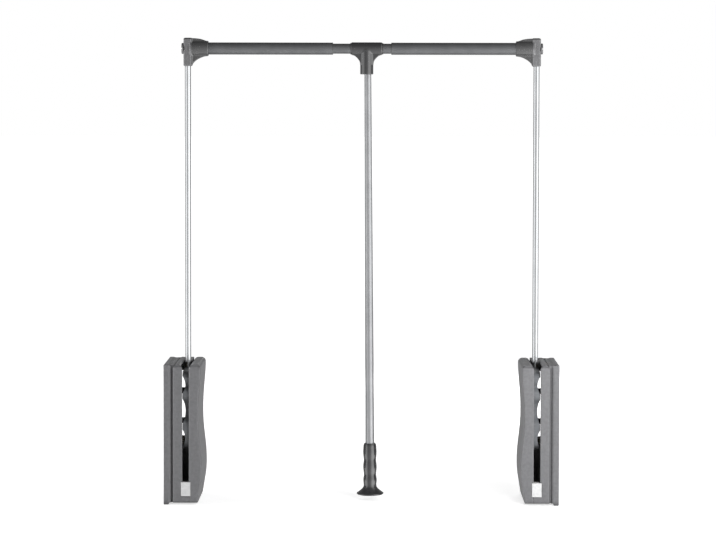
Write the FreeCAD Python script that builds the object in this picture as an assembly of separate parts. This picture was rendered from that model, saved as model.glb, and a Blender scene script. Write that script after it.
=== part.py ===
# Pull down closet rod: two side housings, two swinging arms, a telescopic bar and a pull pole.
# Millimetres. X runs along the bar, -Y is the front, Z is up.
# The origin is the middle of the floor rectangle that the two housings stand on.
# Everything on one side is built for the right-hand side (+X) and mirrored for the left.
import FreeCAD
import Part
import math
import os

V = FreeCAD.Vector
X_AXIS = V(1, 0, 0)
Y_AXIS = V(0, 1, 0)
Z_AXIS = V(0, 0, 1)

# ---- driving dimensions: layout ----
arm_spacing = 640.0          # between the two arms, at the set width
bar_height = 831.5           # bar axis above the base
pivot_height = 110.0         # arm pivot above the base
wall_to_arm = 40.0           # mounting face to the arm's plane
run_gap = 0.05               # radial clearance of a running fit
seat_gap = 0.10              # clearance of a piece that is fixed in its seat
side_gap = 0.4               # clearance between faces that pass each other
rest_gap = 0.3               # clearance where a piece comes to rest on a stop
through = 1.0                # a cutting tool runs this far past the face that it opens

# ---- driving dimensions: housings ----
housing_depth = 138.0
housing_height = 256.0
body_foot = 3.5              # the casings end this far above the flange's foot
flange_width = 9.4
flange_round = 1.5
cove_width = 3.4             # sloped wall between the flange and the shadow groove
cove_depth = 2.6
tray_width = 13.4
neck_width = 3.2             # floor of the shadow groove
neck_depth = 3.4
neck_top_drop = 0.8
neck_foot_rise = 0.4
wall = 2.4
slot_width = 12.0
slot_round = 0.8
front_round = 2.2
top_round = 8.0
cover_shoulder = 3.0         # round at the inner cover's upper corner
rear_lip = 4.0               # the rear wall reaches this far into the slot
rear_window_low = 94.0
rear_window_drop = 25.0      # window's top edge below the casing's top
bridge_gap = 0.6             # lever's back face to the bridge that closes the slot behind it
shell_foot = 15.3            # the slot starts here, behind the stop pad
cover_wave = [(1.0, 67.6), (0.90, 67.0), (0.75, 64.0), (0.625, 62.8),
              (0.49, 64.2), (0.37, 67.6), (0.25, 69.4), (0.105, 66.3)]   # (share of height, reach from wall)
cover_foot_reach = 62.0
wall_screw_inset = 21.0      # screw rows from the front and back edges
wall_screw_low = 38.0
wall_screw_pitch = 180.0
wall_screw_radius = 2.6
screw_boss_radius = 7.0
pad_width = 17.6
pad_height = 25.5
pad_plate = 2.0
pad_shank_depth = 15.0
pad_round = 0.8
case_screw_radius = 1.75
case_head_radius = 3.5
case_boss_radius = 4.2
case_screw_grip = 9.0        # thread length in the inner cover
case_screw_head = 3.0
case_screw_low = 13.0
case_screw_drop = 11.0       # top screw below the casing's top
case_screw_front = 23.0      # front screw behind the front face
case_screw_back = 11.0       # back screws before the back face

# ---- driving dimensions: mechanism ----
plate_thickness = 2.0
plate_margin = 12.0
plate_corner = 6.0
inner_plate_thickness = 1.4
inner_plate_reach = 58.0     # its far face, from the wall
inner_plate_half = 30.0
inner_plate_drop = 22.0      # its foot below the pivot
pin_radius = 5.0
pin_head_radius = 8.0
pin_head = 1.5
bush_wall = 2.0
sleeve_wall = 2.6
lever_width = 11.5
lever_hub_radius = 16.0
lever_half_depth = 9.0
lever_belly = [(12.0, -13.0), (36.0, -12.0), (56.0, -4.0), (64.0, 10.0), (65.0, 26.0), (64.0, 40.0),
               (57.5, 50.0), (55.5, 62.0), (57.5, 75.0), (64.0, 84.0), (65.5, 93.0), (63.0, 100.0),
               (59.0, 106.0), (63.0, 113.0), (65.0, 121.0), (60.0, 129.0), (42.0, 133.0), (20.0, 134.0),
               (9.0, 134.0)]   # (forward, height above the pivot)
scallop_depth = 4.9
scallop_land = 5.0           # flat left on each side of a rest post
hub_scallop_low = 105.0      # lowest hollow's foot, level with the pivot
lever_top_drop = 11.0        # lever's top below the casing's top
lever_neck = 10.0
spigot_radius = 4.2
spigot_length = 42.0
cam_gap = 1.0                # slot's far face to the cam
cam_thickness = 6.0
cam_base = 22.0              # pivot to the shoe's nose centre, bar up
cam_rate = 13.0              # lift of the shoe per radian of swing
cam_overrun_deg = 9.0
nose_radius = 5.0
cam_hub_radius = 13.0
cam_key_radius = 2.0
cam_key_offset = 10.2
cam_key_depth = 3.0
crosshead_half = 18.0
crosshead_height = 8.0
crosshead_round = 1.0
shoe_height = 9.0
lug_width = 7.8
spring_offset = 12.5
spring_radius = 4.1          # to the wire's centre
spring_wire = 0.7            # wire radius
spring_turns = 13
seat_drop = 23.0             # spring seat's underside below the casing's top
seat_thickness = 4.0
seat_half = 20.0
spring_stub_radius = 2.9
spring_stub = 8.0
damper_radius = 4.7
damper_bore = 3.5
damper_length = 46.0
damper_end = 2.0             # thickness of the cylinder's ends
damper_rod_radius = 1.8
rod_seat = 4.0               # depth of the rod in the crosshead
piston_length = 4.0
piston_depth = 8.0           # piston above the cylinder's mouth, bar up
post_radius = 3.5
rivet_radius = 2.4
bumper_wall = 2.2
post_setback = 26.0          # behind the arm's plane
post_rises = [32.0, 88.0]    # above the pivot
heel_height = 14.0

# ---- driving dimensions: arms, bar and pole ----
arm_radius = 5.5
arm_wall = 1.2
arm_stop = 3.0               # arm's top below the bar tube
elbow_half_width = 7.6
elbow_half_depth = 9.0
elbow_reach = 38.0           # arm axis to the mouth of the bar socket
elbow_drop = 32.5            # bar axis to the block's foot
elbow_rise = 19.2            # bar axis to the block's top
elbow_round = 2.5
elbow_web_half = 6.0
web_toe = 2.0                # plain height of the block below the web
web_belly_reach = 17.8       # arm axis to the middle of the web's hollow edge
web_belly_drop = 19.8        # bar axis to the middle of the web's hollow edge
cap_flat = 12.0              # arm axis to where the cap starts to slope
cap_reach = 29.0             # arm axis to where the cap meets the socket
socket_radius = 13.9
socket_depth = 23.0
socket_round = 1.2
plug_radius = 10.0
plug_head = 3.8
plug_round = 1.0
plug_shank_radius = 5.0
plug_shank = 3.0
plug_slot = 2.4
plug_slot_depth = 1.6
outer_tube_radius = 11.1
outer_tube_wall = 1.2
outer_tube_shown = 227.5     # length between the elbow and the mouth
glide_length = 12.0
glide_lip = 1.0
inner_tube_radius = 9.25
inner_tube_wall = 1.2
inner_tube_length = 460.0
tee_offset = 8.5             # the tee stands this far right of the middle
tee_half = 28.6
tee_radius = 11.7
tee_round = 3.0
ring_width = 1.5
ring_radius = 10.6
stem_radius = 12.0
stem_drop = 47.0
stem_round = 1.0
gusset_half = 7.5
gusset_reach = 26.0          # stem axis to the gusset's tip
gusset_drop = 17.0           # gusset's foot below the sleeve
gusset_bite = 1.5            # overlap of the gusset with the sleeve and the stem
gusset_mid_reach = 16.0
gusset_mid_drop = 7.6
pole_offset = 1.9            # pole axis right of the stem's axis
pole_top_radius = 6.2
pole_foot_radius = 8.35
pole_wall = 1.0
pole_seat = 28.0             # length of pole inside the stem
pole_play = 0.45
pole_lean_deg = 0.42         # the pole hangs in its socket a little out of square
pole_screw_radius = 2.0
hex_socket_radius = 1.0
hex_socket_depth = 1.5
grip_foot = 9.0              # grip's lowest point above the base
grip_length = 95.0
grip_insert = 58.0
grip_profile = [(0.0, 21.5), (0.8, 24.0), (2.2, 25.0), (3.8, 23.6), (7.2, 19.0), (10.7, 15.0),
                (14.0, 12.5), (19.0, 11.8), (26.6, 12.5), (32.4, 11.9), (37.5, 11.3), (43.6, 11.9),
                (51.5, 12.5), (58.5, 11.9), (64.7, 11.3), (70.9, 11.9), (78.6, 12.5), (86.8, 12.1),
                (92.4, 11.4), (95.0, 10.0)]   # (height above the foot, radius)

# ---- derived sizes ----
arm_x = arm_spacing / 2.0
wall_x = arm_x + wall_to_arm
front_y = -housing_depth / 2.0
back_y = housing_depth / 2.0
slot_near = wall_to_arm - slot_width / 2.0
slot_far = wall_to_arm + slot_width / 2.0
shell_start = tray_width + neck_width
plate_near = tray_width + side_gap
plate_far = plate_near + plate_thickness
lever_near = wall_to_arm - lever_width / 2.0
lever_far = wall_to_arm + lever_width / 2.0
lever_top = housing_height - lever_top_drop
seat_height = housing_height - seat_drop
post_heights = [pivot_height + rise for rise in post_rises]
wall_screw_places = [(y, z) for y in (front_y + wall_screw_inset, back_y - wall_screw_inset)
                     for z in (wall_screw_low, wall_screw_low + wall_screw_pitch)]
case_screw_top = housing_height - case_screw_drop
case_screw_places = [(front_y + case_screw_front, case_screw_low),
                     (back_y - case_screw_back, case_screw_low),
                     (back_y - case_screw_back, case_screw_top)]
cam_start = slot_far + cam_gap
cam_end = cam_start + cam_thickness
inner_plate_near = inner_plate_reach - inner_plate_thickness
crosshead_start = cam_start - run_gap
crosshead_end = inner_plate_near - side_gap
crosshead_mid = (crosshead_start + crosshead_end) / 2.0
nose_height = pivot_height + cam_base
crosshead_low = nose_height + shoe_height
crosshead_top = crosshead_low + crosshead_height
damper_mouth = seat_height - damper_length
pad_low = shell_foot
pad_top = pad_low + pad_height
socket_mouth = arm_x - elbow_reach
tube_mouth = socket_mouth - outer_tube_shown
arm_top = bar_height - outer_tube_radius - arm_stop
bush_radius = pin_radius + run_gap + bush_wall
bumper_radius = post_radius + bumper_wall
lever_back = post_setback - bumper_radius - rest_gap
pole_x = tee_offset + pole_offset
stem_foot = bar_height - stem_drop
pole_top = stem_foot + pole_seat
pole_foot = grip_foot + grip_length - grip_insert


def swing_to_stop():
    """Swing in degrees at which the lever's front edge comes to rest on the stop pad."""
    drop = pivot_height - pad_top
    edge = Part.BSplineCurve()
    edge.interpolate([V(forward, rise, 0) for forward, rise in lever_belly])
    points = [(point.x, point.y) for point in edge.toShape().discretize(200)]
    points += [(lever_half_depth, lever_belly[-1][1] + step) for step in range(40)]
    nearest = math.hypot(pad_plate + pad_shank_depth + front_y, drop)
    swings = []
    for forward, rise in points:
        reach = math.hypot(forward, rise)
        if nearest <= reach <= math.hypot(front_y, drop):
            lands = math.pi / 2.0 + math.asin(drop / reach)
            swings.append(lands - math.atan2(forward, rise) - rest_gap / reach)
    return math.degrees(min(swings))


swing_deg = swing_to_stop()
cam_rise = cam_rate * math.radians(swing_deg)


def at(reach, y, z):
    """Point at a distance inward from the right-hand wall face."""
    return V(wall_x - reach, y, z)


def slab(reach_a, reach_b, y_a, y_b, z_a, z_b):
    """Box between two distances from the wall face."""
    return Part.makeBox(reach_b - reach_a, y_b - y_a, z_b - z_a, at(reach_b, y_a, z_a))


def across(reach_a, reach_b, y, z, radius):
    """Cylinder along X between two distances from the wall face."""
    return Part.makeCylinder(radius, reach_b - reach_a, at(reach_b, y, z), X_AXIS)


def upright(x, y, z_a, z_b, radius):
    """Vertical cylinder."""
    return Part.makeCylinder(radius, z_b - z_a, V(x, y, z_a), Z_AXIS)


def along(x_a, x_b, radius):
    """Cylinder on the bar's axis."""
    return Part.makeCylinder(radius, x_b - x_a, V(x_a, 0, bar_height), X_AXIS)


def rounded(shape, radius, test):
    """Fillet on the edges whose bounding box passes a test."""
    return shape.makeFillet(radius, [edge for edge in shape.Edges if test(edge.BoundBox)])


def is_at(low, high, value):
    """True where an edge lies wholly at one coordinate."""
    return abs(low - value) < 1e-4 and abs(high - value) < 1e-4


def is_flat_plate_corner(box):
    """True for an edge that runs along X only."""
    return box.YLength < 1e-6 and box.ZLength < 1e-6


# ---- mounting base ----
def mounting_base():
    flange = slab(0, flange_width, front_y, back_y, 0, housing_height)
    flange = rounded(flange, flange_round, lambda b: b.YLength > housing_depth - 1)
    slope = flange_width + cove_width
    outline = [(flange_width, front_y), (slope, front_y + cove_depth), (tray_width, front_y + cove_depth),
               (tray_width, back_y - cove_depth), (slope, back_y - cove_depth), (flange_width, back_y)]
    corners = [at(reach, y, body_foot) for reach, y in outline]
    lip = Part.Face(Part.makePolygon(corners + corners[:1])).extrude(
        V(0, 0, housing_height - neck_top_drop - body_foot))
    side_wall = cove_depth + wall
    hollow = slab(wall, tray_width + through, front_y + side_wall, back_y - side_wall,
                  body_foot + wall, housing_height - wall)
    tray = flange.fuse(lip).cut(hollow)
    bosses = [across(wall, tray_width, y, z, screw_boss_radius) for y, z in wall_screw_places]
    pads = [across(wall, tray_width, y, z, case_boss_radius) for y, z in case_screw_places]
    holes = [across(-through, tray_width + through, y, z, wall_screw_radius)
             for y, z in wall_screw_places]
    sinks = [across(-through, tray_width + through, y, z, case_head_radius + seat_gap)
             for y, z in case_screw_places]
    head = across(tray_width - pin_head - side_gap, tray_width + through, 0, pivot_height,
                  pin_head_radius + side_gap)
    return tray.fuse(bosses + pads).cut(holes + sinks + [head]).removeSplitter()


# ---- casings ----
def pad_space():
    """Pocket in the casings that the stop pad's plate sits in."""
    half = pad_width / 2.0 + seat_gap
    return slab(wall_to_arm - half, wall_to_arm + half, front_y - through,
                front_y + pad_plate + seat_gap, pad_low - seat_gap, pad_top + seat_gap)


def slot_bridge():
    """Hollow bridge that closes the slot's top behind the arm."""
    near, far = slot_near - wall, slot_far - seat_gap
    start = lever_half_depth + bridge_gap
    foot = housing_height - rear_window_drop
    block = slab(near, far, start, back_y, foot, housing_height)
    return block.cut(slab(near - through, far - wall, start + wall, back_y - wall,
                          foot - through, housing_height - wall))


def outer_shell():
    body = slab(shell_start, slot_near, front_y, back_y, body_foot, housing_height)
    toe = slab(slot_near, slot_far, front_y, back_y, body_foot, shell_foot)
    body = body.fuse(toe).removeSplitter()
    neck_x = wall_x - shell_start
    slot_x = wall_x - slot_near
    body = rounded(body, slot_round, lambda b: is_at(b.YMin, b.YMax, front_y)
                   and is_at(b.XMin, b.XMax, slot_x) and b.ZLength > housing_height / 2)
    body = rounded(body, front_round, lambda b: is_at(b.YMin, b.YMax, front_y)
                   and is_at(b.XMin, b.XMax, neck_x))
    body = rounded(body, top_round, lambda b: b.ZMin > housing_height - 1e-3
                   and b.YMax < front_y + front_round + 1e-3 and b.XLength > 1)
    neck = slab(tray_width, shell_start + wall, front_y + neck_depth, back_y - neck_depth,
                body_foot + neck_foot_rise, housing_height - neck_top_drop)
    skin = neck_depth + wall
    inside = slab(tray_width - through, shell_start + wall + through, front_y + skin, back_y - skin,
                  body_foot + skin, housing_height - skin)
    room = slab(shell_start + wall, slot_near + through, front_y + wall, back_y - wall,
                body_foot + wall, housing_height - wall)
    toe_room = slab(slot_near - through, slot_far - wall, front_y + wall, back_y - wall,
                    body_foot + wall, shell_foot - wall)
    window = slab(shell_start + wall, slot_near + through, back_y - wall - through, back_y + through,
                  rear_window_low, housing_height - rear_window_drop)
    lip = slab(slot_near - wall, slot_near + rear_lip, back_y - wall, back_y, body_foot, housing_height)
    shell = body.fuse(neck).cut([inside, room, toe_room, window]).fuse([lip, slot_bridge()])
    bosses = []
    bores = []
    for y, z in case_screw_places:
        floor = body_foot if z < housing_height / 2 else housing_height
        bosses.append(across(shell_start, slot_far, y, z, case_boss_radius))
        bosses.append(slab(shell_start, slot_near, y - wall / 2.0, y + wall / 2.0,
                           min(z, floor), max(z, floor)))
        bores.append(across(tray_width - through, slot_far + through, y, z,
                            case_screw_radius + seat_gap))
    shell = shell.fuse(bosses).cut(bores + [pad_space()])
    return shell.removeSplitter()


def wave_outline(inset, near):
    """The inner cover's outline in the XZ plane, moved in by an inset, from a given near face."""
    top = housing_height - inset
    foot = body_foot + inset
    rise = housing_height - body_foot
    wave = [at(reach - inset, front_y, body_foot + rise * share) for share, reach in cover_wave]
    wave[0] = at(cover_wave[0][1] - inset, front_y, top)
    curve = Part.BSplineCurve()
    curve.interpolate(wave)
    toe = at(cover_foot_reach - inset, front_y, foot)
    corners = [toe, at(near, front_y, foot), at(near, front_y, top), wave[0]]
    sides = [Part.makeLine(wave[-1], toe)]
    for a, b in zip(corners, corners[1:]):
        sides.append(Part.makeLine(a, b))
    return Part.Face(Part.Wire([curve.toShape()] + sides))


def shoulder_waste():
    """What the round takes off the cover's upper corner."""
    edge = cover_wave[0][1]
    middle = housing_height - cover_shoulder
    corner = slab(edge - cover_shoulder, edge + through, front_y - through, back_y + through,
                  middle, housing_height + through)
    return corner.cut(Part.makeCylinder(cover_shoulder, housing_depth + 2 * through + 2,
                                        at(edge - cover_shoulder, front_y - through - 1, middle), Y_AXIS))


def inner_cover():
    body = wave_outline(0, slot_far).extrude(V(0, housing_depth, 0))
    slot_x = wall_x - slot_far
    body = rounded(body, front_round, lambda b: is_at(b.YMin, b.YMax, front_y)
                   and b.ZLength > housing_height / 2 and not is_at(b.XMin, b.XMax, slot_x))
    body = rounded(body, slot_round, lambda b: is_at(b.YMin, b.YMax, front_y)
                   and is_at(b.XMin, b.XMax, slot_x))
    body = rounded(body, top_round, lambda b: b.ZMin > housing_height - 1e-3
                   and b.YMax < front_y + front_round + 1e-3 and b.XLength > 1)
    body = body.cut(shoulder_waste())
    room = wave_outline(wall, slot_far - through).extrude(V(0, housing_depth - 2 * wall, 0))
    room.translate(V(0, wall, 0))
    cover = body.cut(room)
    boss_end = max(reach for share, reach in cover_wave)
    bosses = []
    bores = []
    for y, z in case_screw_places:
        bosses.append(across(slot_far, boss_end, y, z, case_boss_radius).common(body))
        bores.append(across(slot_far - through, slot_far + case_screw_grip + through, y, z,
                            case_screw_radius))
    cover = cover.fuse(bosses).cut(bores + [pad_space()])
    return cover.removeSplitter()


def stop_pad():
    half = pad_width / 2.0
    shank = slot_width / 2.0 - seat_gap
    plate = slab(wall_to_arm - half, wall_to_arm + half, front_y, front_y + pad_plate, pad_low, pad_top)
    plate = rounded(plate, pad_round, lambda b: is_at(b.YMin, b.YMax, front_y))
    block = slab(wall_to_arm - shank, wall_to_arm + shank, front_y + pad_plate,
                 front_y + pad_plate + pad_shank_depth, pad_low + seat_gap, pad_top)
    return plate.fuse(block).removeSplitter()


def cover_screws():
    screws = []
    for y, z in case_screw_places:
        head = across(shell_start - case_screw_head, shell_start, y, z, case_head_radius)
        shank = across(shell_start - case_screw_head, slot_far + case_screw_grip, y, z,
                       case_screw_radius)
        screws.append(head.fuse(shank).removeSplitter())
    return Part.makeCompound(screws)


# ---- chassis ----
def chassis_plate():
    skin = neck_depth + wall + side_gap
    half = housing_depth / 2.0 - plate_margin
    plate = slab(plate_near, plate_far, -half, half, body_foot + skin, housing_height - skin)
    plate = rounded(plate, plate_corner, is_flat_plate_corner)
    bores = [across(0, slot_near, 0, pivot_height, pin_radius + seat_gap)]
    bores += [across(0, slot_near, y, z, wall_screw_radius) for y, z in wall_screw_places]
    bores += [across(0, slot_near, y, z, case_boss_radius + side_gap) for y, z in case_screw_places]
    bores += [across(0, slot_near, post_setback, z, rivet_radius) for z in post_heights]
    return plate.cut(bores)


def rest_posts():
    posts = []
    for z in post_heights:
        post = across(plate_far, slot_far - side_gap, post_setback, z, post_radius)
        rivet = across(plate_near, plate_far, post_setback, z, rivet_radius)
        posts.append(post.fuse(rivet).removeSplitter())
    return Part.makeCompound(posts)


def rest_bumpers():
    sleeves = []
    for z in post_heights:
        outside = across(plate_far + side_gap, slot_far - 2 * side_gap, post_setback, z, bumper_radius)
        bore = across(plate_far, slot_far, post_setback, z, post_radius)
        sleeves.append(outside.cut(bore))
    return Part.makeCompound(sleeves)


def pivot_pin():
    shank = across(plate_near, inner_plate_reach, 0, pivot_height, pin_radius)
    head = across(plate_near - pin_head, plate_near, 0, pivot_height, pin_head_radius)
    return shank.fuse(head).removeSplitter()


def pivot_sleeve():
    outside = across(plate_far, lever_near - side_gap, 0, pivot_height, pin_radius + sleeve_wall)
    bore = across(plate_near, lever_near, 0, pivot_height, pin_radius + run_gap)
    return outside.cut(bore)


def inner_plate():
    plate = slab(inner_plate_near, inner_plate_reach, -inner_plate_half, inner_plate_half,
                 pivot_height - inner_plate_drop, seat_height + seat_thickness)
    plate = rounded(plate, plate_corner, is_flat_plate_corner)
    bore = across(slot_far, inner_plate_reach + through, 0, pivot_height, pin_radius + seat_gap)
    half = (lug_width + side_gap) / 2.0
    guide = slab(slot_far, inner_plate_reach + through, -half, half,
                 crosshead_low - side_gap, crosshead_top + cam_rise + side_gap)
    return plate.cut([bore, guide])


def spring_stubs(low):
    """The two stubs that centre the springs, from a given height."""
    return [upright(wall_x - crosshead_mid, y, low, low + spring_stub, spring_stub_radius)
            for y in (-spring_offset, spring_offset)]


def spring_seat():
    seat = slab(crosshead_start, inner_plate_near, -seat_half, seat_half,
                seat_height, seat_height + seat_thickness)
    return seat.fuse(spring_stubs(seat_height - spring_stub)).removeSplitter()


# ---- cam drive ----
def belly():
    """Deep front part of the lever that fills the slot below the arm."""
    points = [at(lever_far, -forward, pivot_height + rise) for forward, rise in lever_belly]
    curve = Part.BSplineCurve()
    curve.interpolate(points)
    low = at(lever_far, 0, points[0].z)
    high = at(lever_far, 0, points[-1].z)
    wire = Part.Wire([curve.toShape(), Part.makeLine(points[-1], high), Part.makeLine(high, low),
                      Part.makeLine(low, points[0])])
    return Part.Face(wire).extrude(V(lever_width, 0, 0))


def lever():
    hub = across(lever_near, lever_far, 0, pivot_height, lever_hub_radius)
    blade = slab(lever_near, lever_far, -lever_half_depth, lever_half_depth,
                 pivot_height, lever_top - lever_neck)
    heel_z = post_heights[-1]
    outline = [(0, heel_z - heel_height), (lever_back, heel_z - heel_height / 2.0),
               (lever_back, heel_z + heel_height / 2.0), (0, heel_z + heel_height)]
    corners = [at(lever_far, y, z) for y, z in outline]
    heel = Part.Face(Part.makePolygon(corners + corners[:1])).extrude(V(lever_width, 0, 0))
    neck = Part.makeCone(lever_width / 2.0, arm_radius, lever_neck,
                         V(arm_x, 0, lever_top - lever_neck), Z_AXIS)
    spigot = upright(arm_x, 0, lever_top - through, lever_top + spigot_length, spigot_radius)
    body = hub.fuse([blade, belly(), heel, neck, spigot])
    scoops = [scallop(low, high, back_y) for low, high in scallops()]
    bore = across(lever_near - through, lever_far + through, 0, pivot_height, bush_radius)
    keys = [across(lever_far - cam_key_depth, lever_far + through, 0, pivot_height + side,
                   cam_key_radius) for side in (-cam_key_offset, cam_key_offset)]
    return body.cut(scoops + keys + [bore]).removeSplitter()


def scallops():
    """Heights between which the lever's wall-side flank is hollowed."""
    low_post, high_post = post_heights
    return [(hub_scallop_low, low_post - scallop_land),
            (low_post + scallop_land, high_post - scallop_land),
            (high_post + scallop_land, lever_top - lever_neck)]


def scallop(low, high, rear):
    """Shallow round hollow in the lever's wall-side flank, from the front to a given Y."""
    half = (high - low) / 2.0
    radius = (half ** 2 + scallop_depth ** 2) / (2.0 * scallop_depth)
    centre = at(lever_near + scallop_depth - radius, front_y, (low + high) / 2.0)
    return Part.makeCylinder(radius, rear - front_y, centre, Y_AXIS)


def pivot_bush():
    outside = across(lever_near, lever_far, 0, pivot_height, bush_radius)
    bore = across(slot_near, slot_far, 0, pivot_height, pin_radius + run_gap)
    return outside.cut(bore)


def cam_point(angle):
    """Point (y, z) of the cam's edge: a spiral, moved in by the nose radius and a clearance."""
    reach = cam_base + cam_rate * angle
    size = math.hypot(reach, cam_rate)
    normal_y = (reach * math.sin(angle) - cam_rate * math.cos(angle)) / size
    normal_z = (reach * math.cos(angle) + cam_rate * math.sin(angle)) / size
    inset = nose_radius + run_gap
    return (reach * math.sin(angle) - inset * normal_y,
            pivot_height + reach * math.cos(angle) - inset * normal_z)


def cam():
    steps = 24
    first = -math.radians(cam_overrun_deg)
    last = math.radians(swing_deg + cam_overrun_deg)
    angles = [first + (last - first) * i / steps for i in range(steps + 1)]
    edge = [at(cam_end, *cam_point(angle)) for angle in angles]
    curve = Part.BSplineCurve()
    curve.interpolate(edge)
    middle = at(cam_end, 0, pivot_height)
    wire = Part.Wire([curve.toShape(), Part.makeLine(edge[-1], middle), Part.makeLine(middle, edge[0])])
    plate = Part.Face(wire).extrude(V(cam_thickness, 0, 0))
    hub = across(lever_far, cam_end, 0, pivot_height, cam_hub_radius)
    keys = [across(lever_far - cam_key_depth + seat_gap, cam_end, 0, pivot_height + side,
                   cam_key_radius - seat_gap) for side in (-cam_key_offset, cam_key_offset)]
    bore = across(slot_near, cam_end + through, 0, pivot_height, pin_radius + run_gap)
    return plate.fuse([hub] + keys).cut(bore).removeSplitter()


def cam_shoe():
    nose = across(cam_start, cam_end, 0, nose_height, nose_radius)
    block = slab(cam_start, cam_end, -nose_radius, nose_radius, nose_height, crosshead_low)
    return nose.fuse(block).removeSplitter()


def crosshead():
    block = slab(crosshead_start, crosshead_end, -crosshead_half, crosshead_half,
                 crosshead_low, crosshead_top)
    block = rounded(block, crosshead_round, lambda b: b.YLength < 1e-6 and b.ZLength > 1)
    lug = slab(crosshead_end, inner_plate_reach, -lug_width / 2.0, lug_width / 2.0,
               crosshead_low, crosshead_top)
    bore = upright(wall_x - crosshead_mid, 0, crosshead_top - rod_seat, crosshead_top + through,
                   damper_rod_radius)
    return block.fuse([lug] + spring_stubs(crosshead_top)).cut(bore).removeSplitter()


def damper_rod():
    x = wall_x - crosshead_mid
    top = damper_mouth + piston_depth
    rod = upright(x, 0, crosshead_top - rod_seat, top, damper_rod_radius)
    piston = upright(x, 0, top - piston_length, top, damper_bore - run_gap)
    return rod.fuse(piston).removeSplitter()


def damper_cylinder():
    x = wall_x - crosshead_mid
    body = upright(x, 0, damper_mouth, seat_height, damper_radius)
    chamber = upright(x, 0, damper_mouth + damper_end, seat_height - damper_end, damper_bore)
    gland = upright(x, 0, damper_mouth - through, damper_mouth + damper_end + through,
                    damper_rod_radius + run_gap)
    return body.cut([chamber, gland])


def springs():
    x = wall_x - crosshead_mid
    coils = []
    for y in (-spring_offset, spring_offset):
        low = crosshead_top + spring_wire
        height = seat_height - spring_wire - low
        path = Part.Wire(Part.makeHelix(height / spring_turns, height, spring_radius))
        path.translate(V(x, y, low))
        ring = Part.makeCircle(spring_wire - run_gap / 2.0, V(x + spring_radius, y, low), Y_AXIS)
        coils.append(path.makePipeShell([Part.Wire(ring)], True, True))
    return Part.makeCompound(coils)


# ---- arm and elbow ----
def arm():
    outside = upright(arm_x, 0, lever_top, arm_top, arm_radius)
    return outside.cut(upright(arm_x, 0, lever_top - through, arm_top + through, arm_radius - arm_wall))


def elbow_web():
    """Plate that joins the block to the bar socket: a hollow edge below and a sloped cap on top."""
    side = arm_x + elbow_half_width
    near = arm_x - elbow_half_width
    low = bar_height - socket_radius
    high = bar_height + socket_radius
    top = bar_height + elbow_rise
    foot = bar_height - elbow_drop + web_toe
    y = -elbow_web_half
    tip = socket_mouth + socket_round
    start = V(near, y, foot)
    middle = V(arm_x - web_belly_reach, y, bar_height - web_belly_drop)
    end = V(tip, y, low + through)
    rim = [end, V(tip, y, high - through), V(arm_x - cap_reach, y, high), V(arm_x - cap_flat, y, top),
           V(side, y, top), V(side, y, foot), start]
    edges = [Part.Arc(start, middle, end).toShape()]
    edges += [Part.makeLine(a, b) for a, b in zip(rim, rim[1:])]
    return Part.Face(Part.Wire(edges)).extrude(V(0, 2 * elbow_web_half, 0))


def elbow():
    side = arm_x + elbow_half_width
    near = arm_x - elbow_half_width
    foot = bar_height - elbow_drop
    block = Part.makeBox(2 * elbow_half_width, 2 * elbow_half_depth, elbow_drop + elbow_rise,
                         V(near, -elbow_half_depth, foot))
    block = rounded(block, elbow_round, lambda b: b.XLength < 1e-6 and b.YLength < 1e-6)
    socket = along(socket_mouth, near, socket_radius)
    socket = rounded(socket, socket_round, lambda b: is_at(b.XMin, b.XMax, socket_mouth))
    blend = Part.makeCone(socket_radius, elbow_half_depth, elbow_half_width,
                          V(near, 0, bar_height), X_AXIS)
    body = block.fuse([elbow_web(), socket, blend]).removeSplitter()
    tube_bore = along(socket_mouth - through, socket_mouth + socket_depth, outer_tube_radius + seat_gap)
    arm_bore = upright(arm_x, 0, foot - through, arm_top + seat_gap, arm_radius + seat_gap)
    plug_bore = along(side - plug_shank - seat_gap, side + through, plug_shank_radius + seat_gap)
    return body.cut([tube_bore, arm_bore, plug_bore]).removeSplitter()


def elbow_plug():
    side = arm_x + elbow_half_width
    head = along(side, side + plug_head, plug_radius)
    head = rounded(head, plug_round, lambda b: is_at(b.XMin, b.XMax, side + plug_head))
    shank = along(side - plug_shank, side, plug_shank_radius)
    groove = Part.makeBox(plug_slot_depth + through, 2 * plug_radius, plug_slot,
                          V(side + plug_head - plug_slot_depth, -plug_radius,
                            bar_height - plug_slot / 2.0))
    return head.fuse(shank).cut(groove).removeSplitter()


# ---- telescopic bar ----
def outer_tube():
    end = socket_mouth + socket_depth
    bore = along(tube_mouth - through, end + through, outer_tube_radius - outer_tube_wall)
    return along(tube_mouth, end, outer_tube_radius).cut(bore)


def glide_bush():
    sleeve = along(tube_mouth, tube_mouth + glide_length, outer_tube_radius - outer_tube_wall)
    lip = along(tube_mouth - glide_lip, tube_mouth, outer_tube_radius)
    bore = along(tube_mouth - glide_lip - through, tube_mouth + glide_length + through,
                 inner_tube_radius + run_gap)
    return sleeve.fuse(lip).cut(bore).removeSplitter()


def inner_tube():
    half = inner_tube_length / 2.0
    tube = along(tee_offset - half, tee_offset + half, inner_tube_radius)
    return tube.cut(along(tee_offset - half - through, tee_offset + half + through,
                          inner_tube_radius - inner_tube_wall))


def retaining_rings():
    rings = []
    for side in (-1, 1):
        near = tee_offset + side * (tee_half + run_gap)
        far = near + side * ring_width
        low, high = min(near, far), max(near, far)
        bore = along(low - through, high + through, inner_tube_radius)
        rings.append(along(low, high, ring_radius).cut(bore))
    return Part.makeCompound(rings)


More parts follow.
